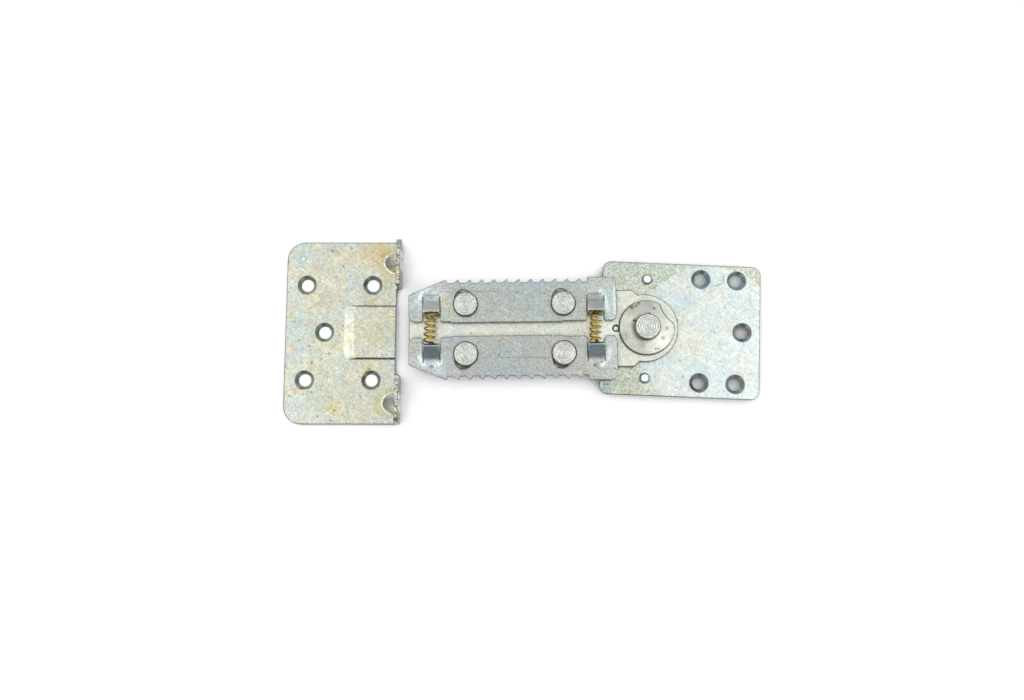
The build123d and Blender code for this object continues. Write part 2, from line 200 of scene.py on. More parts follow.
# Strokes on each jaw: start, end and width in millimetres in the tongue's frame, tint. Tints above
# 1 are painted highlights and the bluish dark ones painted shade, on the bends around the lugs; the
# yellowish ones tint the plating and the thin grey ones are scored lines.
JAW_GLINTS_AND_LINES = {
    "upper_jaw": (
        ((106.7, 14.0), (105.0, 18.2), 1.5, (1.6, 1.6, 1.55)),
        ((105.0, 18.4), (101.4, 19.5), 1.2, (1.25, 1.25, 1.25)),
        ((96.9, 17.3), (90.8, 7.0), 2.4, (1.10, 1.03, 0.82)),
        ((95.6, 14.5), (95.6, 6.0), 1.6, (1.08, 1.0, 0.82)),
        ((21.8, 18.4), (19.2, 14.1), 2.2, (1.5, 1.5, 1.45)),
        ((19.2, 14.1), (18.5, 7.4), 2.0, (1.35, 1.35, 1.3)),
        ((14.9, 19.5), (14.9, 6.5), 1.0, (1.4, 1.4, 1.4)),
        ((104.4, 16.2), (97.2, 16.2), 1.0, (0.62, 0.68, 0.74)),
        ((27.4, 16.2), (20.4, 16.2), 1.2, (0.62, 0.68, 0.74)),
        ((28.6, 16.5), (28.9, 12.0), 1.0, (0.95, 0.86, 0.66)),
        ((96.7, 17.9), (68.5, 17.7), 0.5, (0.72, 0.72, 0.72)),
    ),
    "lower_jaw": (
        ((106.9, -12.0), (103.9, -17.0), 2.0, (1.6, 1.6, 1.5)),
        ((98.0, -16.6), (96.0, -14.8), 1.8, (1.6, 1.55, 1.4)),
        ((101.4, -17.2), (99.6, -17.2), 1.6, (0.45, 0.5, 0.56)),
        ((95.6, -14.0), (95.6, -6.0), 1.4, (1.08, 1.0, 0.8)),
        ((21.9, -18.2), (19.5, -15.4), 2.0, (1.6, 1.6, 1.5)),
        ((18.8, -14.6), (16.8, -9.5), 2.4, (1.3, 1.3, 1.25)),
        ((25.6, -17.4), (23.8, -17.4), 1.8, (0.5, 0.55, 0.62)),
        ((70.7, -13.5), (43.7, -13.7), 0.5, (0.72, 0.72, 0.72)),
    ),
}

# Coils: CAD node, turn about its axis, lean and shift sideways
COILS = (
    ("front_spring", 0.0, 0.9 * MM, -0.45 * MM),
    ("rear_spring", math.pi, -0.7 * MM, -0.6 * MM),
)

# Halves of a coil: name, the jaw on its side, first and last share of the length
COIL_HALVES = (
    ("lower", "lower_jaw", 0.0, 0.5),
    ("upper", "upper_jaw", 0.5, 1.0),
)

# How much a coil is shorter than its CAD node, and how finely it is drawn
COIL_SPARE = 0.1 * MM
STEPS_PER_TURN = 40
WIRE_SIDES = 14

# Rings of the turned heads
STUD_PITCH = 0.95 * MM
RIVET_PITCH = 1.05 * MM
RING_STRENGTH = 0.46

# Table: half its side in metres, its own grey, how far hollows reach for the painted shadow that
# dims its glow, and how white it glows
TABLE_REACH = 3.0
TABLE_GREY = 0.5
PAINTED_SHADOW_REACH = 20 * MM
TABLE_GLOW = 0.60

# Surround: (place, level) from the middle out to both sides, from the picture's foot to its
# head, and from the horizon up
SIDEWAYS = (
    (0.0, 0.46), (0.14, 0.52), (0.26, 0.70), (0.42, 0.90),
    (0.60, 0.85), (0.75, 0.40), (0.90, 0.24), (1.0, 0.22),
)
FOOT_TO_HEAD = (
    (0.0, 0.15), (0.035, 0.22), (0.15, 0.50), (0.30, 0.85), (0.40, 1.0), (0.575, 1.0),
    (0.65, 0.90), (0.72, 0.78), (0.90, 0.74), (0.965, 0.76), (0.992, 0.80), (1.0, 0.30),
)
UPWARDS = ((0.0, 0.2), (0.08, 0.3), (0.20, 0.95), (0.35, 1.0))
SURROUND_LEVEL = 2.0

# Camera: lens and sensor in millimetres, nearest and farthest sight in metres, place over the
# table, tilt and turn
LENS, SENSOR = 33.75, 36.0
NEAR, FAR = 0.01, 10.0
CAMERA_PLACE = (-94.14 * MM, -69.74 * MM)
CAMERA_TILT = math.radians(7.2425)
CAMERA_TURN = math.radians(2.45)


def node_centre(node):
    """Middle of a CAD node's box, in the row frame."""
    low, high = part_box(node)
    return (low + high) / 2


def grey(level):
    return (level, level, level, 1)


# Node trees


class Sketch:
    """Short calls for building one node tree."""

    def __init__(self, tree):
        self.tree = tree

    def put(self, socket, value):
        if isinstance(value, bpy.types.NodeSocket):
            self.tree.links.new(value, socket)
        elif value is not None:
            socket.default_value = value

    def add(self, kind, inputs=(), **settings):
        node = self.tree.nodes.new(kind)
        for name, value in settings.items():
            setattr(node, name, value)
        for key, value in dict(inputs).items():
            self.put(node.inputs[key], value)
        return node

    def math(self, operation, first, second=None, clamp=False):
        node = self.add("ShaderNodeMath", operation=operation, use_clamp=clamp)
        self.put(node.inputs[0], first)
        self.put(node.inputs[1], second)
        return node.outputs[0]

    def vector(self, operation, first, second=None):
        node = self.add("ShaderNodeVectorMath", operation=operation)
        self.put(node.inputs[0], first)
        self.put(node.inputs[1], second)
        return node

    def fade(self, value, start, end, low=0.0, high=1.0):
        """Smooth step of value from low at start to high at end."""
        inputs = {"Value": value, "From Min": start, "From Max": end, "To Min": low, "To Max": high}
        node = self.add("ShaderNodeMapRange", inputs, interpolation_type="SMOOTHSTEP")
        return node.outputs["Result"]

    def mix(self, share, first, second, blend="MIX"):
        node = self.add("ShaderNodeMix", data_type="RGBA", blend_type=blend)
        self.put(node.inputs["Factor"], share)
        self.put(node.inputs[6], first)
        self.put(node.inputs[7], second)
        return node.outputs[2]

    def multiply(self, first, second):
        """Product of two colours."""
        return self.mix(1.0, first, second, "MULTIPLY")

    def noise(self, position, feature, detail=2.0, roughness=0.5, distortion=0.0):
        """Noise whose blotches are about feature across, in metres."""
        inputs = {
            "Vector": position,
            "Scale": 1 / feature,
            "Detail": detail,
            "Roughness": roughness,
            "Distortion": distortion,
        }
        return self.add("ShaderNodeTexNoise", inputs).outputs["Fac"]

    def ramp(self, value, stops):
        """Grey levels at the given positions of value, from 0 to 1, with straight lines between."""
        node = self.add("ShaderNodeValToRGB", {"Fac": value})
        node.color_ramp.interpolation = "LINEAR"
        elements = node.color_ramp.elements
        while len(elements) < len(stops):
            elements.new(0.5)
        for element, (place, level) in zip(elements, stops):
            element.position = place
            element.color = grey(level)
        return node.outputs["Color"]


def new_material(name):
    material = bpy.data.materials.new(name)
    material.use_nodes = True
    material.node_tree.nodes.clear()
    return material, Sketch(material.node_tree)


def tongue_point(along, across):
    """Place in the row frame of a point given in the tongue's own frame, in millimetres."""
    x = -along * math.cos(REST_TURN) - across * math.sin(REST_TURN)
    y = -along * math.sin(REST_TURN) + across * math.cos(REST_TURN)
    return (PIVOT_X / MM + x, y)


def flat_distance(sketch, place, east, north):
    """Distance in metres from an upright line at (east, north), given in millimetres."""
    off = sketch.vector("SUBTRACT", place, (east * MM, north * MM, 0)).outputs[0]
    flat = sketch.vector("MULTIPLY", off, (1, 1, 0)).outputs[0]
    return sketch.vector("LENGTH", flat).outputs["Value"]


def tinted(sketch, shade, share, tint):
    """Multiplies shade by a tint, a colour or a node's output, where share is 1."""
    tint = tint if isinstance(tint, bpy.types.NodeSocket) else (*tint, 1)
    return sketch.mix(share, shade, sketch.multiply(shade, tint))


def stained(sketch, shade, place, ragged, stains):
    """Lays soft-edged stains, each (east, north, radius, tint, strength), over a shade."""
    for east, north, radius, tint, strength in stains:
        reach = flat_distance(sketch, place, east, north)
        reach = sketch.math("ADD", reach, sketch.math("MULTIPLY", ragged, radius * MM))
        share = sketch.fade(reach, radius * 0.75 * MM, radius * 1.5 * MM, strength, 0.0)
        shade = tinted(sketch, shade, share, tint)
    return shade


def drawn(sketch, shade, place, strokes):
    """Lays soft straight strokes, each (start, end, width, tint), in millimetres, over a shade."""
    for start, end, width, tint in strokes:
        first, last = Vector((*start, 0)) * MM, Vector((*end, 0)) * MM
        length = (last - first).length
        way = (last - first) / length
        off = sketch.vector("SUBTRACT", place, first).outputs[0]
        along = sketch.vector("DOT_PRODUCT", off, way).outputs["Value"]
        across = sketch.vector("DOT_PRODUCT", off, Vector((-way.y, way.x, 0))).outputs["Value"]
        aside = sketch.math("ABSOLUTE", across)
        share = sketch.fade(aside, width * 0.2 * MM, width * 0.7 * MM, 1.0, 0.0)
        soft = min(width * MM, length / 2)
        share = sketch.math("MULTIPLY", share, sketch.fade(along, -soft / 2, soft / 2))
        tail = sketch.fade(along, length - soft / 2, length + soft / 2, 1.0, 0.0)
        share = sketch.math("MULTIPLY", share, tail)
        shade = tinted(sketch, shade, share, tint)
    return shade


def shade_hollows(sketch, shade, reach, depth):
    """Painted shade: darkens a shade in corners and slots narrower than reach."""
    hollow = sketch.add("ShaderNodeAmbientOcclusion", {"Distance": reach}, samples=5)
    level = sketch.fade(hollow.outputs["AO"], 0.2, 0.9, depth, 1.0)
    return sketch.multiply(shade, level)


def steepness(sketch):
    """0 on faces that look up or down, 1 on upright ones."""
    facing = sketch.add("ShaderNodeNewGeometry").outputs["Normal"]
    rise = sketch.add("ShaderNodeSeparateXYZ", {"Vector": facing}).outputs["Z"]
    return sketch.math("SUBTRACT", 1.0, sketch.math("ABSOLUTE", rise))


def finish_metal(sketch, colour, roughness, height, lift, edge_shading, edge=0.5):
    """Metal of the given colour, with soft edges tinted as painted shade (brightened as a painted
    highlight where the tint is above 1) and a bump of the given lift in metres.
    """
    soft = sketch.add("ShaderNodeBevel", {"Radius": edge * MM}, samples=4)
    true = sketch.add("ShaderNodeNewGeometry").outputs["True Normal"]
    flat = sketch.vector("DOT_PRODUCT", soft.outputs[0], true).outputs["Value"]
    colour = tinted(sketch, colour, sketch.fade(flat, 0.985, 0.88), edge_shading)
    inputs = {"Base Color": colour, "Metallic": 1.0, "Roughness": roughness}
    inputs["Normal"] = soft.outputs[0]
    if height is not None:
        relief = {"Height": height, "Distance": lift, "Strength": 1.0, "Normal": soft.outputs[0]}
        inputs["Normal"] = sketch.add("ShaderNodeBump", relief).outputs[0]
    shader = sketch.add("ShaderNodeBsdfPrincipled", inputs)
    out = sketch.add("ShaderNodeOutputMaterial")
    sketch.put(out.inputs["Surface"], shader.outputs[0])


class Plating:
    """Zinc plating under way: its node sketch, its place and the patterns that its steps share."""

    def __init__(self, name, seed):
        self.material, self.s = new_material(name)
        s = self.s
        self.place = s.add("ShaderNodeTexCoord").outputs["Object"]
        shift = (seed * 0.37, seed * 0.11, seed * 0.05)
        self.shifted = s.vector("ADD", self.place, shift).outputs[0]
        self.cloud = s.noise(self.shifted, 15 * MM, 3.0, 0.55, 0.3)
        self.blotch = s.noise(self.shifted, 4.5 * MM, 4.0, 0.6, 0.6)
        self.grain = s.noise(self.shifted, 1.15 * MM, 2.0, 0.65)
        self.dust = s.noise(self.shifted, 0.55 * MM, 1.0, 0.5)
        self.height_of_face = s.add("ShaderNodeSeparateXYZ", {"Vector": self.place}).outputs["Z"]
        self.relief = []

    def streaks(self, heading, seed):
        """Long, thin, wandering marks along one heading."""
        s = self.s
        turn = (0, 0, math.radians(heading))
        turned = s.add("ShaderNodeMapping", {"Vector": self.shifted, "Rotation": turn}).outputs[0]
        stretched = s.vector("MULTIPLY", turned, (0.16, 1.0, 1.0)).outputs[0]
        stretched = s.vector("ADD", stretched, (seed, 0, 0)).outputs[0]
        return s.noise(stretched, 1.3 * MM, 2.0, 0.6, 1.2)

    def base(self, colour, tints, speckle, gold):
        """Clouds of three tints, brightness grain, golden specks and faint streaks."""
        s = self.s
        cool, warm, dusk = tints
        wide, narrow = s.math("MULTIPLY", self.cloud, 0.6), s.math("MULTIPLY", self.blotch, 0.4)
        mixed = s.math("ADD", wide, narrow)
        shade = s.mix(s.fade(mixed, 0.40, 0.58), (*cool, 1), (*warm, 1))
        shade = s.mix(s.fade(self.blotch, 0.56, 0.74, 0.0, 0.8), shade, (*dusk, 1))
        shade = s.multiply(shade, (*colour, 1))
        level = s.fade(self.grain, 0.28, 0.72, 1 - speckle, 1 + speckle)
        finer = s.fade(self.dust, 0.25, 0.75, 1 - 1.2 * speckle, 1 + 1.2 * speckle)
        level = s.math("MULTIPLY", level, finer)
        level = s.math("MULTIPLY", level, s.fade(self.blotch, 0.3, 0.7, 1.06, 0.94))
        shade = s.multiply(shade, level)
        for heading, seed, tint in STREAKS:
            shade = tinted(s, shade, s.fade(self.streaks(heading, seed), 0.55, 0.70), tint)
        return tinted(s, shade, s.fade(self.dust, 0.56, 0.74, 0.0, gold), (0.96, 0.87, 0.62))

    def pits(self, shade, depth):
        """Scattered small dark pits."""
        s = self.s
        spots = s.noise(self.shifted, 1.6 * MM, 0.0, 0.5)
        return s.multiply(shade, s.fade(spots, 0.76, 0.84, 1.0, depth))

    def edges(self, shade, level):
        """Painted shade: makes cut edges and countersinks darker than faces."""
        s = self.s
        mark = s.fade(steepness(s), 0.20, 0.30)
        return tinted(s, shade, mark, (level * 0.88, level, level * 1.05))

    def dent(self, east, north, radius, depth):
        """Adds a shallow hollow that bending left in the sheet, for the relief."""
        s = self.s
        reach = flat_distance(s, self.place, east, north)
        self.relief.append(s.fade(reach, 0.0, radius * MM, -depth * MM, 0.0))

    def finish(self, shade, roughness, ripple, hollow_shade, reach=2.2, edge_shading=EDGE_SHADE):
        """Material of the shade, with painted shade in corners and with ripples and dents in
        relief.
        """
        s = self.s
        height = s.math("MULTIPLY", self.grain, ripple * MM)
        height = s.math("ADD", height, s.math("MULTIPLY", self.cloud, 0.10 * MM))
        for part in self.relief:
            height = s.math("ADD", height, part)
        rough = s.fade(self.blotch, 0.3, 0.7, roughness - 0.05, roughness + 0.08)
        shade = shade_hollows(s, shade, reach * MM, hollow_shade)
        finish_metal(s, shade, rough, height, lift=1.0, edge_shading=edge_shading, edge=0.8)
        return self.material


def turned_metal(name, colour, centre, pitch, seed):
    """Turned or spun face: broken rings about the piece's own axis."""
    material, s = new_material(name)
    place = s.add("ShaderNodeTexCoord").outputs["Object"]
    radius = flat_distance(s, place, centre.x / MM, centre.y / MM)
    shifted = s.vector("ADD", place, (seed * 0.3, 0, 0)).outputs[0]
    wobble = s.math("MULTIPLY", s.noise(shifted, 2.2 * MM, 2.0), 0.9 * MM)
    wave = s.math("SINE", s.math("MULTIPLY", s.math("ADD", radius, wobble), 2 * math.pi / pitch))
    broken = s.fade(s.noise(shifted, 1.5 * MM, 3.0, 0.6), 0.3, 0.7)
    rings = s.math("MULTIPLY", s.math("MULTIPLY", wave, broken), RING_STRENGTH)
    level = s.math("ADD", 1.0, rings)
    grain = s.noise(shifted, 0.6 * MM, 2.0, 0.6)
    level = s.math("MULTIPLY", level, s.fade(grain, 0.28, 0.72, 0.78, 1.18))
    level = s.math("MULTIPLY", level, s.fade(broken, 0.0, 1.0, 0.88, 1.14))
    film = s.fade(s.noise(shifted, 3 * MM, 2.0), 0.35, 0.65)
    shade = s.mix(film, (1.02, 1.0, 0.93, 1), (0.96, 1.0, 1.03, 1))
    shade = s.multiply(s.multiply(shade, (*colour, 1)), level)
    # Painted shade on the upright sides
    shade = tinted(s, shade, s.fade(steepness(s), 0.12, 0.30), (0.30, 0.31, 0.30))
    height = s.math("MULTIPLY", s.math("ADD", wave, s.math("MULTIPLY", grain, 1.5)), 0.022 * MM)
    # Painted shade in hollows and on the edges
    shade = shade_hollows(s, shade, 1.4 * MM, 0.45)
    finish_metal(s, shade, 0.27, height, lift=1.0, edge_shading=(0.35, 0.36, 0.35))
    return material


def washer_metal(name, colour, centre):
    """Bare spring steel with dark spots and rust along the rim, and painted light: darker at the
    bore's left, highlights across it.
    """
    material, s = new_material(name)
    place = s.add("ShaderNodeTexCoord").outputs["Object"]
    east, north = centre.x / MM, centre.y / MM
    radius = flat_distance(s, place, east, north)
    off = s.vector("SUBTRACT", place, centre).outputs[0]
    flat = s.vector("NORMALIZE", s.vector("MULTIPLY", off, (1, 1, 0)).outputs[0]).outputs[0]
    film = s.noise(place, 4 * MM, 3.0, 0.6)
    grain = s.noise(place, 0.9 * MM, 3.0, 0.7)
    ragged = s.noise(place, 1.1 * MM, 3.0, 0.7)
    wide, narrow = s.fade(film, 0.3, 0.7, 0.92, 1.08), s.fade(grain, 0.3, 0.7, 0.93, 1.07)
    level = s.math("MULTIPLY", wide, narrow)
    shade = s.multiply((*colour, 1), level)
    # Painted light by direction: shade at the bore's left, a lighter left side, and a highlight in
    # a fan across the washer
    left = s.vector("DOT_PRODUCT", flat, TO_LEFT).outputs["Value"]
    bore_shade = s.math("MULTIPLY", s.fade(radius, *BORE_RING), s.fade(left, -0.1, 0.9, 0.0, 0.7))
    shade = tinted(s, shade, bore_shade, (0.45, 0.44, 0.40))
    shade = tinted(s, shade, s.fade(left, -0.4, 0.9), (1.08, 1.08, 1.05))
    sheen_fan = s.vector("DOT_PRODUCT", flat, ALONG_FAN).outputs["Value"]
    shade = tinted(s, shade, s.fade(s.math("ABSOLUTE", sheen_fan), 0.70, 1.0), (1.20, 1.20, 1.18))
    shade = tinted(s, shade, s.fade(ragged, 0.50, 0.64, 0.0, 0.5), (0.86, 0.80, 0.62))
    # Painted shade along the edge of the round bite
    torn = flat_distance(s, place, east + BREAK_CENTRE[0], north + BREAK_CENTRE[1])
    shade = tinted(s, shade, s.fade(torn, *BREAK_LIP, 1.0, 0.0), (0.2, 0.19, 0.16))
    # Painted shadow along the lower left of the washer's rim
    lower_left = s.vector("DOT_PRODUCT", flat, TO_LOWER_LEFT).outputs["Value"]
    rim_shadow = s.math("MULTIPLY", s.fade(radius, *RIM_OUTLINE), s.fade(lower_left, -0.55, 0.2))
    shade = tinted(s, shade, rim_shadow, DEEP_SHADE)
    rim = s.math("MULTIPLY", s.fade(radius, *WORN_RIM, 0.0, 0.55), s.fade(ragged, 0.35, 0.6))
    shade = tinted(s, shade, rim, (0.55, 0.52, 0.44))
    shade = stained(s, shade, place, ragged, WASHER_STAINS_AND_SHEEN)
    # Painted shade on upright faces, in hollows and on the edges
    shade = tinted(s, shade, s.fade(steepness(s), 0.20, 0.40), (0.2, 0.2, 0.18))
    shade = shade_hollows(s, shade, 1.8 * MM, 0.5)
    finish_metal(s, shade, 0.26, grain, lift=0.00002, edge_shading=(0.35, 0.34, 0.31))
    return material


def spring_wire(name, colour):
    """Yellow plated wire, darker where turns lie close as painted shade."""
    material, s = new_material(name)
    place = s.add("ShaderNodeTexCoord").outputs["Object"]
    level = s.fade(s.noise(place, 0.7 * MM, 2.0), 0.3, 0.7, 0.6, 1.3)
    shade = shade_hollows(s, s.multiply((*colour, 1), level), 1.6 * MM, 0.12)
    finish_metal(s, shade, 0.22, height=None, lift=0, edge_shading=(1.0, 1.0, 1.0), edge=0.05)
    return material


def dress(node, material):
    """Gives a CAD node its material."""
    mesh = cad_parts[node].data
    mesh.materials.clear()
    mesh.materials.append(material)


# Coils


def spring_tree():
    """Geometry Nodes for half of an open coil that runs along its own Z."""
    tree = bpy.data.node_groups.new("Half of an open coil", "GeometryNodeTree")
    tree.interface.new_socket("Geometry", in_out="OUTPUT", socket_type="NodeSocketGeometry")
    shape = ("Turns", "Coil radius", "Wire radius", "Length", "First share", "Last share", "Lean")
    for label in shape:
        tree.interface.new_socket(label, in_out="INPUT", socket_type="NodeSocketFloat")
    for label in ("Turn", "Centre"):
        tree.interface.new_socket(label, in_out="INPUT", socket_type="NodeSocketVector")
    tree.interface.new_socket("Wire finish", in_out="INPUT", socket_type="NodeSocketMaterial")
    s = Sketch(tree)
    given = s.add("NodeGroupInput").outputs
    spiral = s.add(
        "GeometryNodeCurveSpiral",
        {
            "Resolution": STEPS_PER_TURN,
            "Rotations": given["Turns"],
            "Start Radius": given["Coil radius"],
            "End Radius": given["Coil radius"],
            "Height": given["Length"],
            "Reverse": True,
        },
    )
    trim = s.add("GeometryNodeTrimCurve", {"Curve": spiral.outputs[0]})
    s.put(trim.inputs[2], given["First share"])
    s.put(trim.inputs[3], given["Last share"])
    place = s.add("GeometryNodeInputPosition").outputs[0]
    height = s.add("ShaderNodeSeparateXYZ", {"Vector": place}).outputs["Z"]
    share = s.math("SUBTRACT", s.math("DIVIDE", height, given["Length"]), 0.5)
    shift = s.add("ShaderNodeCombineXYZ", {"X": s.math("MULTIPLY", share, given["Lean"])})
    curve = {"Geometry": trim.outputs[0], "Offset": shift.outputs[0]}
    leaned = s.add("GeometryNodeSetPosition", curve)
    half = s.math("MULTIPLY", given["Length"], -0.5)
    middle = s.add("ShaderNodeCombineXYZ", {"Z": half}).outputs[0]
    placed = leaned
    for key, value in (
        ("Translation", middle),
        ("Rotation", given["Turn"]),
        ("Translation", given["Centre"]),
    ):
        placed = s.add("GeometryNodeTransform", {"Geometry": placed.outputs[0], key: value})
    ring = {"Resolution": WIRE_SIDES, "Radius": given["Wire radius"]}
    wire = s.add("GeometryNodeCurvePrimitiveCircle", ring)
    swept = s.add(
        "GeometryNodeCurveToMesh",
        {"Curve": placed.outputs[0], "Profile Curve": wire.outputs[0], "Fill Caps": True},
    )
    smooth = s.add("GeometryNodeSetShadeSmooth", {"Geometry": swept.outputs[0]})
    real = s.add("GeometryNodeRealizeInstances", {"Geometry": smooth.outputs[0]})
    coat = {"Geometry": real.outputs[0], "Material": given["Wire finish"]}
    coated = s.add("GeometryNodeSetMaterial", coat)
    s.put(s.add("NodeGroupOutput").inputs[0], coated.outputs[0])
    return tree


def grown(name, tree, values):
    """A plain mesh object made by a Geometry Nodes tree with the given inputs."""
    holder = bpy.data.objects.new(name, bpy.data.meshes.new(name + " seed"))
    bpy.context.scene.collection.objects.link(holder)
    modifier = holder.modifiers.new("Grow", "NODES")
    modifier.node_group = tree
    for item in tree.interface.items_tree:
        if item.in_out == "INPUT" and item.name in values:
            modifier[item.identifier] = values[item.name]
    evaluated = holder.evaluated_get(bpy.context.evaluated_depsgraph_get())
    mesh = bpy.data.meshes.new_from_object(evaluated)
    if not mesh.polygons:
        raise RuntimeError(f"{name} came out empty")
    holder.modifiers.remove(modifier)
    mesh.name = name
    holder.data = mesh
    return holder


# Settings


class ConnectorSettings(bpy.types.PropertyGroup):
    """Sizes and colours that a user would change."""

    plate_colour: bpy.props.FloatVectorProperty(
        name="Mounting plate",
        description="Zinc plating of the mounting plate",
        subtype="COLOR",
        default=(0.67, 0.71, 0.695),
        min=0,
        max=1,
    )
    catch_colour: bpy.props.FloatVectorProperty(
        name="Catch plate",
        description="Zinc plating of the catch plate",
        subtype="COLOR",
        default=(0.58, 0.595, 0.54),
        min=0,
        max=1,
    )
    tongue_colour: bpy.props.FloatVectorProperty(
        name="Tongue",
        description="Zinc plating of the tongue",
        subtype="COLOR",
        default=(0.655, 0.70, 0.69),
        min=0,
        max=1,
    )
    jaw_colour: bpy.props.FloatVectorProperty(
        name="Jaws",
        description="Zinc plating of the toothed jaws",
        subtype="COLOR",
        default=(0.49, 0.515, 0.485),
        min=0,
        max=1,
    )
    stud_colour: bpy.props.FloatVectorProperty(
        name="Studs and rivet",
        description="Turned heads of the studs and the pivot",
        subtype="COLOR",
        default=(0.585, 0.60, 0.575),
        min=0,
        max=1,
    )
    washer_colour: bpy.props.FloatVectorProperty(
        name="Washer",
        description="Bare steel of the spring washer",
        subtype="COLOR",
        default=(0.52, 0.54, 0.50),
        min=0,
        max=1,
    )
    spring_colour: bpy.props.FloatVectorProperty(
        name="Springs",
        description="Brassy plating of the springs' wire",
        subtype="COLOR",
        default=(0.56, 0.38, 0.035),
        min=0,
        max=1,
    )
    spring_turns: bpy.props.FloatProperty(
        name="Turns",
        description="Turns in each spring",
        default=5.1,
        min=1,
    )
    wire_radius: bpy.props.FloatProperty(
        name="Wire radius",
        description="Half the thickness of the springs' wire",
        subtype="DISTANCE",
        unit="LENGTH",
        default=0.42 * MM,
        min=0,
    )
    coil_radius: bpy.props.FloatProperty(
        name="Coil radius",
        description="Mean radius of the springs' coils",
        subtype="DISTANCE",
        unit="LENGTH",
        default=2.5 * MM,
        min=0,
    )
    camera_height: bpy.props.FloatProperty(
        name="Camera height",
        description="Height of the camera over the screwed face",
        subtype="DISTANCE",
        unit="LENGTH",
        default=0.4498,
        min=0,
    )


def settings():
    return bpy.context.scene.connector


# Operators


class CONNECTOR_OT_plates(bpy.types.Operator):
    """Plates the catch plate, the mounting plate and the tongue"""

    bl_idname = "connector.plates"
    bl_label = "Plates"

    def execute(self, context):
        wanted = settings()
        dress("catch_plate", self.catch(wanted.catch_colour))
        dress("mounting_plate", self.mounting(wanted.plate_colour))
        dress("tongue_plate", self.tongue(wanted.tongue_colour))
        return {"FINISHED"}

    def catch(self, colour):
        zinc = Plating("Yellowish zinc", 1)
        s = zinc.s
        shade = zinc.base(colour, (COOL, WARM, DUSK), speckle=0.14, gold=0.9)
        shade = stained(s, shade, zinc.place, zinc.blotch, CATCH_STAINS)
        crest = s.fade(zinc.height_of_face, *FLANGE_TOPS)
        crumbs = s.fade(s.noise(zinc.shifted, 1.1 * MM, 2.0, 0.6), 0.36, 0.58, 0.38, 1.12)
        shade = s.mix(crest, shade, s.multiply(shade, crumbs))
        shade = zinc.pits(shade, 0.55)
        # Painted shade: upright faces, such as the flanges' outer sides, darker still
        upright = s.fade(steepness(s), 0.80, 0.95)
        cut = tinted(s, zinc.edges(shade, 0.66), upright, (0.62, 0.66, 0.66))
        # Painted highlight on the gussets' steep faces, in place of the painted shade
        gusset_glint = s.mix(s.fade(steepness(s), 0.16, 0.30), s.multiply(shade, grey(0.92)), GUSSET_GLINT)
        for east, north in GUSSETS:
            reach = flat_distance(s, zinc.place, east, north)
            cut = s.mix(s.fade(reach, *GUSSET_RADIUS, 1.0, 0.0), cut, gusset_glint)
            # Painted highlight in a narrow ring at each gusset's foot, and a wide yellow tint
            for middle, width, tint in GUSSET_GLINT_AND_TINT_RINGS:
                off = s.math("ABSOLUTE", s.math("SUBTRACT", reach, middle * MM))
                share = s.fade(off, 0.3 * width * MM, 0.8 * width * MM, 0.9, 0.0)
                cut = tinted(s, cut, share, tint)
        return zinc.finish(cut, roughness=0.24, ripple=0.035, hollow_shade=0.66)

    def mounting(self, colour):
        zinc = Plating("Bluish zinc", 2)
        s = zinc.s
        shade = zinc.base(colour, (COOL, PALE, COOL), speckle=0.09, gold=0.7)
        reach = flat_distance(s, zinc.place, *CLEAN_CENTRE)
        reach = s.math("ADD", reach, s.math("MULTIPLY", zinc.blotch, 2 * MM))
        outside = s.fade(reach, *CLEAN_RADIUS)
        shade = tinted(s, shade, outside, (0.87, 0.865, 0.80))
        grit = s.fade(s.noise(zinc.shifted, 0.9 * MM, 2.0, 0.6), 0.36, 0.64)
        gritty = s.mix(grit, (0.78, 0.79, 0.70, 1), (1.20, 1.20, 1.19, 1))
        shade = tinted(s, shade, outside, gritty)
        shade = stained(s, shade, zinc.place, zinc.blotch, MOUNTING_STAINS)
        shade = s.mix(s.fade(zinc.height_of_face, *STOP_TOPS), shade, (0.88, 0.9, 0.9, 1))
        shade = drawn(s, shade, zinc.place, SCRATCHES)
        # Painted shade on upright faces and countersinks, and in hollows
        shade = zinc.edges(zinc.pits(shade, 0.6), 0.60)
        return zinc.finish(shade, roughness=0.24, ripple=0.035, hollow_shade=0.6)

    def tongue(self, colour):
        zinc = Plating("Pale zinc", 3)
        shade = zinc.base(colour, (PALE, WARM, PALE), speckle=0.10, gold=0.5)
        shade = stained(zinc.s, shade, zinc.place, zinc.blotch, TONGUE_STAINS)
        # Painted shade on upright faces, and in hollows out to 3.2 mm
        shade = zinc.edges(zinc.pits(shade, 0.6), 0.42)
        return zinc.finish(shade, roughness=0.25, ripple=0.035, hollow_shade=0.22, reach=3.2)


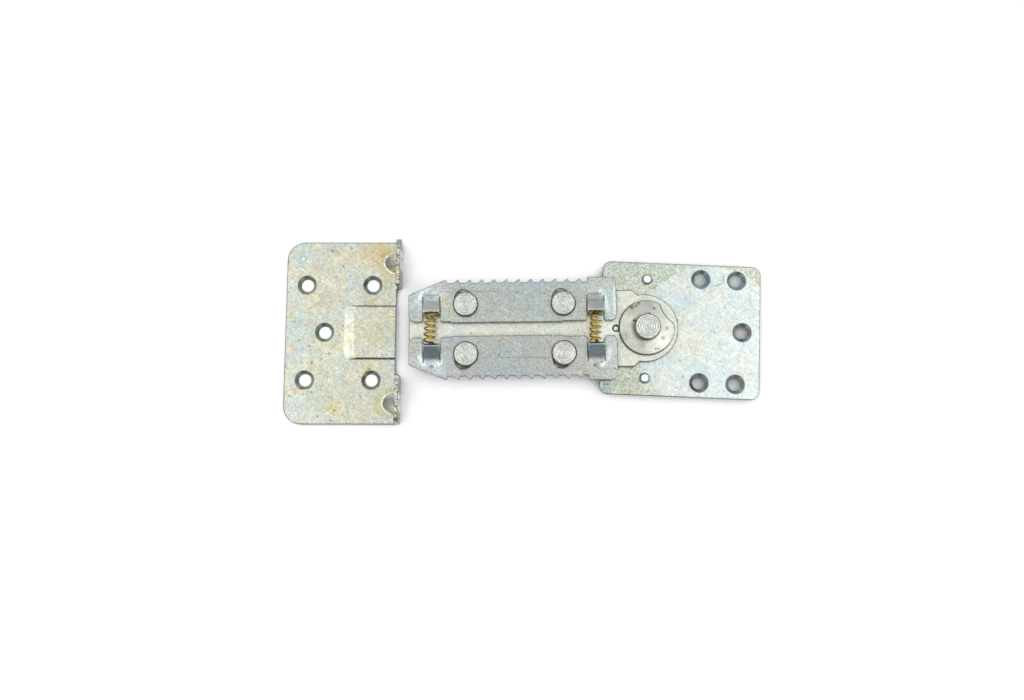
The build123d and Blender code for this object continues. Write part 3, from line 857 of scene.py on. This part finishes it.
class CONNECTOR_OT_jaws(bpy.types.Operator):
    """Plates the two toothed jaws"""

    bl_idname = "connector.jaws"
    bl_label = "Jaws"

    def execute(self, context):
        colour = settings().jaw_colour
        for node, side in (("upper_jaw", 1), ("lower_jaw", -1)):
            dress(node, self.jaw(node, side, colour))
        return {"FINISHED"}

    def jaw(self, node, side, colour):
        zinc = Plating("Grey zinc of the " + node.replace("_", " "), 4 + side)
        s = zinc.s
        cast = (1.0, 1.0, 1.0) if side > 0 else (0.965, 0.945, 0.97)
        colour = [level * share for level, share in zip(colour, cast)]
        shade = zinc.base(colour, (COOL, PALE, DUSK), speckle=0.15, gold=0.5)
        # Painted sheen at the nose and rear end, and a bluish tint along the outer edge
        for along, across, lengthways, crossways, tint in JAW_SHEENS_AND_TINTS:
            east, north = tongue_point(along, side * across)
            off = s.vector("SUBTRACT", zinc.place, (east * MM, north * MM, 0)).outputs[0]
            turned = s.add("ShaderNodeMapping", {"Vector": off, "Rotation": (0, 0, -REST_TURN)})
            scale = (1 / lengthways, 1 / crossways, 0)
            shape = s.vector("MULTIPLY", turned.outputs[0], scale).outputs[0]
            reach = s.vector("LENGTH", shape).outputs["Value"]
            reach = s.math("ADD", reach, s.math("MULTIPLY", zinc.blotch, MM))
            shade = tinted(s, shade, s.fade(reach, 0.6 * MM, 1.7 * MM, 1.0, 0.0), tint)
        # Painted highlights and shade on the bends around the lugs, yellow tints and scored lines
        strokes = [
            (tongue_point(*start), tongue_point(*end), width, tint)
            for start, end, width, tint in JAW_GLINTS_AND_LINES[node]
        ]
        shade = drawn(s, shade, zinc.place, strokes)
        for lug_x in LUGS_ALONG:
            east, north = tongue_point(lug_x, side * DENTS_ACROSS)
            zinc.dent(east, north, radius=5.5, depth=0.25)
        height = zinc.height_of_face
        raised = s.fade(height, *LUGS_RISE)
        lug = s.mix(s.fade(zinc.cloud, 0.3, 0.7), (0.49, 0.52, 0.51, 1), (0.58, 0.60, 0.58, 1))
        # Painted shade: the lower lugs, which face away from the light, are darker and bluer
        if side < 0:
            lug = tinted(s, lug, 1.0, (0.72, 0.84, 0.95))
        # Painted shade on the jaw's upright faces
        shade = s.mix(raised, zinc.edges(zinc.pits(shade, 0.6), 0.42), lug)
        # Painted shade on the nibs under the coils
        for lug_x in LUGS_ALONG:
            east, north = tongue_point(lug_x, side * NIBS_ACROSS)
            nib = s.fade(flat_distance(s, zinc.place, east, north), *NIB_RADIUS, 1.0, 0.0)
            shade = tinted(s, shade, s.math("MULTIPLY", nib, raised), DEEP_SHADE)
        # Painted shade on the jaw's edges and a painted highlight on the edges at the lugs' ends
        edge_shading = s.mix(s.fade(height, *LUG_ENDS), (*EDGE_SHADE, 1), grey(1.9))
        return zinc.finish(shade, roughness=0.22, ripple=0.035, hollow_shade=0.7, edge_shading=edge_shading)


class CONNECTOR_OT_studs(bpy.types.Operator):
    """Turns the faces of the four studs"""

    bl_idname = "connector.studs"
    bl_label = "Studs"

    def execute(self, context):
        for index, node in enumerate(STUDS):
            material = turned_metal(
                "Turned face of " + node.replace("_", " "),
                settings().stud_colour,
                node_centre(node),
                STUD_PITCH,
                index + 1,
            )
            dress(node, material)
        return {"FINISHED"}


class CONNECTOR_OT_pivot(bpy.types.Operator):
    """Spins the pivot's head and stains the dished washer"""

    bl_idname = "connector.pivot"
    bl_label = "Pivot and washer"

    def execute(self, context):
        wanted = settings()
        centre = node_centre("pivot_rivet")
        head = turned_metal("Spun rivet head", wanted.stud_colour, centre, RIVET_PITCH, 7)
        dress("pivot_rivet", head)
        dress("spring_washer", washer_metal("Bare spring steel", wanted.washer_colour, centre))
        return {"FINISHED"}


class CONNECTOR_OT_springs(bpy.types.Operator):
    """Winds the two springs, each in two halves"""

    bl_idname = "connector.springs"
    bl_label = "Springs"

    def execute(self, context):
        wanted = settings()
        wire = spring_wire("Brassy wire", wanted.spring_colour)
        tree = spring_tree()
        for node, phase, lean, aside in COILS:
            low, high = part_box(node)
            centre = (low + high) / 2 + Vector((aside, 0, 0))
            length = (high.y - low.y) - COIL_SPARE
            for half, jaw, first, last in COIL_HALVES:
                values = {
                    "Turns": wanted.spring_turns,
                    "Coil radius": wanted.coil_radius,
                    "Wire radius": wanted.wire_radius,
                    "Length": length,
                    "First share": first,
                    "Last share": last,
                    "Lean": lean,
                    "Turn": (-math.pi / 2, phase, REST_TURN),
                    "Centre": centre,
                    "Wire finish": wire,
                }
                piece = grown(f"{node}_{half}_half", tree, values)
                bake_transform(piece)
                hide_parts(node)
        return {"FINISHED"}


def table_top(context):
    """Pale table under the part, which stays white to the camera and takes real shadows; its glow
    dims in hollows under and beside the part as a painted shadow.
    """
    low = CAD_BOX[0].z
    mesh = bpy.data.meshes.new("table")
    signs = ((-1, -1), (1, -1), (1, 1), (-1, 1))
    corners = [(x * TABLE_REACH, y * TABLE_REACH, low) for x, y in signs]
    mesh.from_pydata(corners, [], [(0, 1, 2, 3)])
    table = bpy.data.objects.new("table", mesh)
    context.scene.collection.objects.link(table)
    material, s = new_material("Pale table")
    path = s.add("ShaderNodeLightPath").outputs
    seen = s.math("MAXIMUM", path["Is Camera Ray"], path["Is Glossy Ray"])
    # Painted shadow: the glow fades in hollows under and beside the part
    hollow = s.add("ShaderNodeAmbientOcclusion", {"Distance": PAINTED_SHADOW_REACH}, samples=5)
    unshaded_glow = s.fade(hollow.outputs["AO"], 0.38, 0.52, 0.0, TABLE_GLOW)
    diffuse = s.add("ShaderNodeBsdfDiffuse", {"Color": grey(TABLE_GREY)})
    glow = s.add("ShaderNodeEmission", {"Strength": s.math("MULTIPLY", seen, unshaded_glow)})
    both = s.add("ShaderNodeAddShader")
    s.put(both.inputs[0], diffuse.outputs[0])
    s.put(both.inputs[1], glow.outputs[0])
    s.put(s.add("ShaderNodeOutputMaterial").inputs["Surface"], both.outputs[0])
    mesh.materials.append(material)


def studio_light(context):
    """Soft surround: bright strips to both sides, dim at the horizon, white to the camera."""
    world = bpy.data.worlds.new("Soft studio")
    world.use_nodes = True
    context.scene.world = world
    world.node_tree.nodes.clear()
    s = Sketch(world.node_tree)
    way = s.add("ShaderNodeTexCoord").outputs["Generated"]
    part = s.add("ShaderNodeSeparateXYZ", {"Vector": way}).outputs
    side = s.ramp(s.math("ABSOLUTE", part["X"]), SIDEWAYS)
    depth = s.ramp(s.math("MULTIPLY", s.math("ADD", part["Y"], 1.0), 0.5), FOOT_TO_HEAD)
    height = s.ramp(part["Z"], UPWARDS)
    level = s.multiply(s.multiply(side, depth), height)
    level = s.multiply(level, grey(SURROUND_LEVEL))
    path = s.add("ShaderNodeLightPath").outputs
    seen = s.math("MAXIMUM", path["Is Camera Ray"], path["Is Transmission Ray"])
    shade = s.mix(seen, level, grey(1.0))
    background = s.add("ShaderNodeBackground", {"Color": shade, "Strength": 1.0})
    s.put(s.add("ShaderNodeOutputWorld").inputs["Surface"], background.outputs[0])


def photo_camera(context):
    """Camera over the table, a little towards the lower edge, as in the photograph."""
    data = bpy.data.cameras.new("camera")
    data.lens, data.sensor_width = LENS, SENSOR
    data.clip_start, data.clip_end = NEAR, FAR
    camera = bpy.data.objects.new("camera", data)
    context.scene.collection.objects.link(camera)
    camera.location = (*CAMERA_PLACE, settings().camera_height)
    camera.rotation_euler = (CAMERA_TILT, 0, CAMERA_TURN)
    context.scene.camera = camera


class CONNECTOR_OT_stage(bpy.types.Operator):
    """Lays the pale table, the soft surround and the camera"""

    bl_idname = "connector.stage"
    bl_label = "Stage"

    def execute(self, context):
        table_top(context)
        studio_light(context)
        photo_camera(context)
        context.scene.view_settings.view_transform = "Standard"
        return {"FINISHED"}


class CONNECTOR_PT_panel(bpy.types.Panel):
    """Lists the connector's pieces and their settings"""

    bl_idname = "CONNECTOR_PT_panel"
    bl_label = "Sofa connector"
    bl_space_type = "VIEW_3D"
    bl_region_type = "UI"
    bl_category = "Connector"

    def draw(self, context):
        for name in ConnectorSettings.__annotations__:
            self.layout.prop(context.scene.connector, name)
        for operator in OPERATORS:
            self.layout.operator(operator.bl_idname)


OPERATORS = (
    CONNECTOR_OT_plates,
    CONNECTOR_OT_jaws,
    CONNECTOR_OT_studs,
    CONNECTOR_OT_pivot,
    CONNECTOR_OT_springs,
    CONNECTOR_OT_stage,
)
CLASSES = (ConnectorSettings, *OPERATORS, CONNECTOR_PT_panel)


def register():
    for cls in CLASSES:
        bpy.utils.register_class(cls)
    bpy.types.Scene.connector = bpy.props.PointerProperty(type=ConnectorSettings)


def unregister():
    del bpy.types.Scene.connector
    for cls in reversed(CLASSES):
        bpy.utils.unregister_class(cls)


def main():
    register()
    bpy.ops.connector.plates()
    bpy.ops.connector.jaws()
    bpy.ops.connector.studs()
    bpy.ops.connector.pivot()
    bpy.ops.connector.springs()
    bpy.ops.connector.stage()


if __name__ == "__main__":
    main()
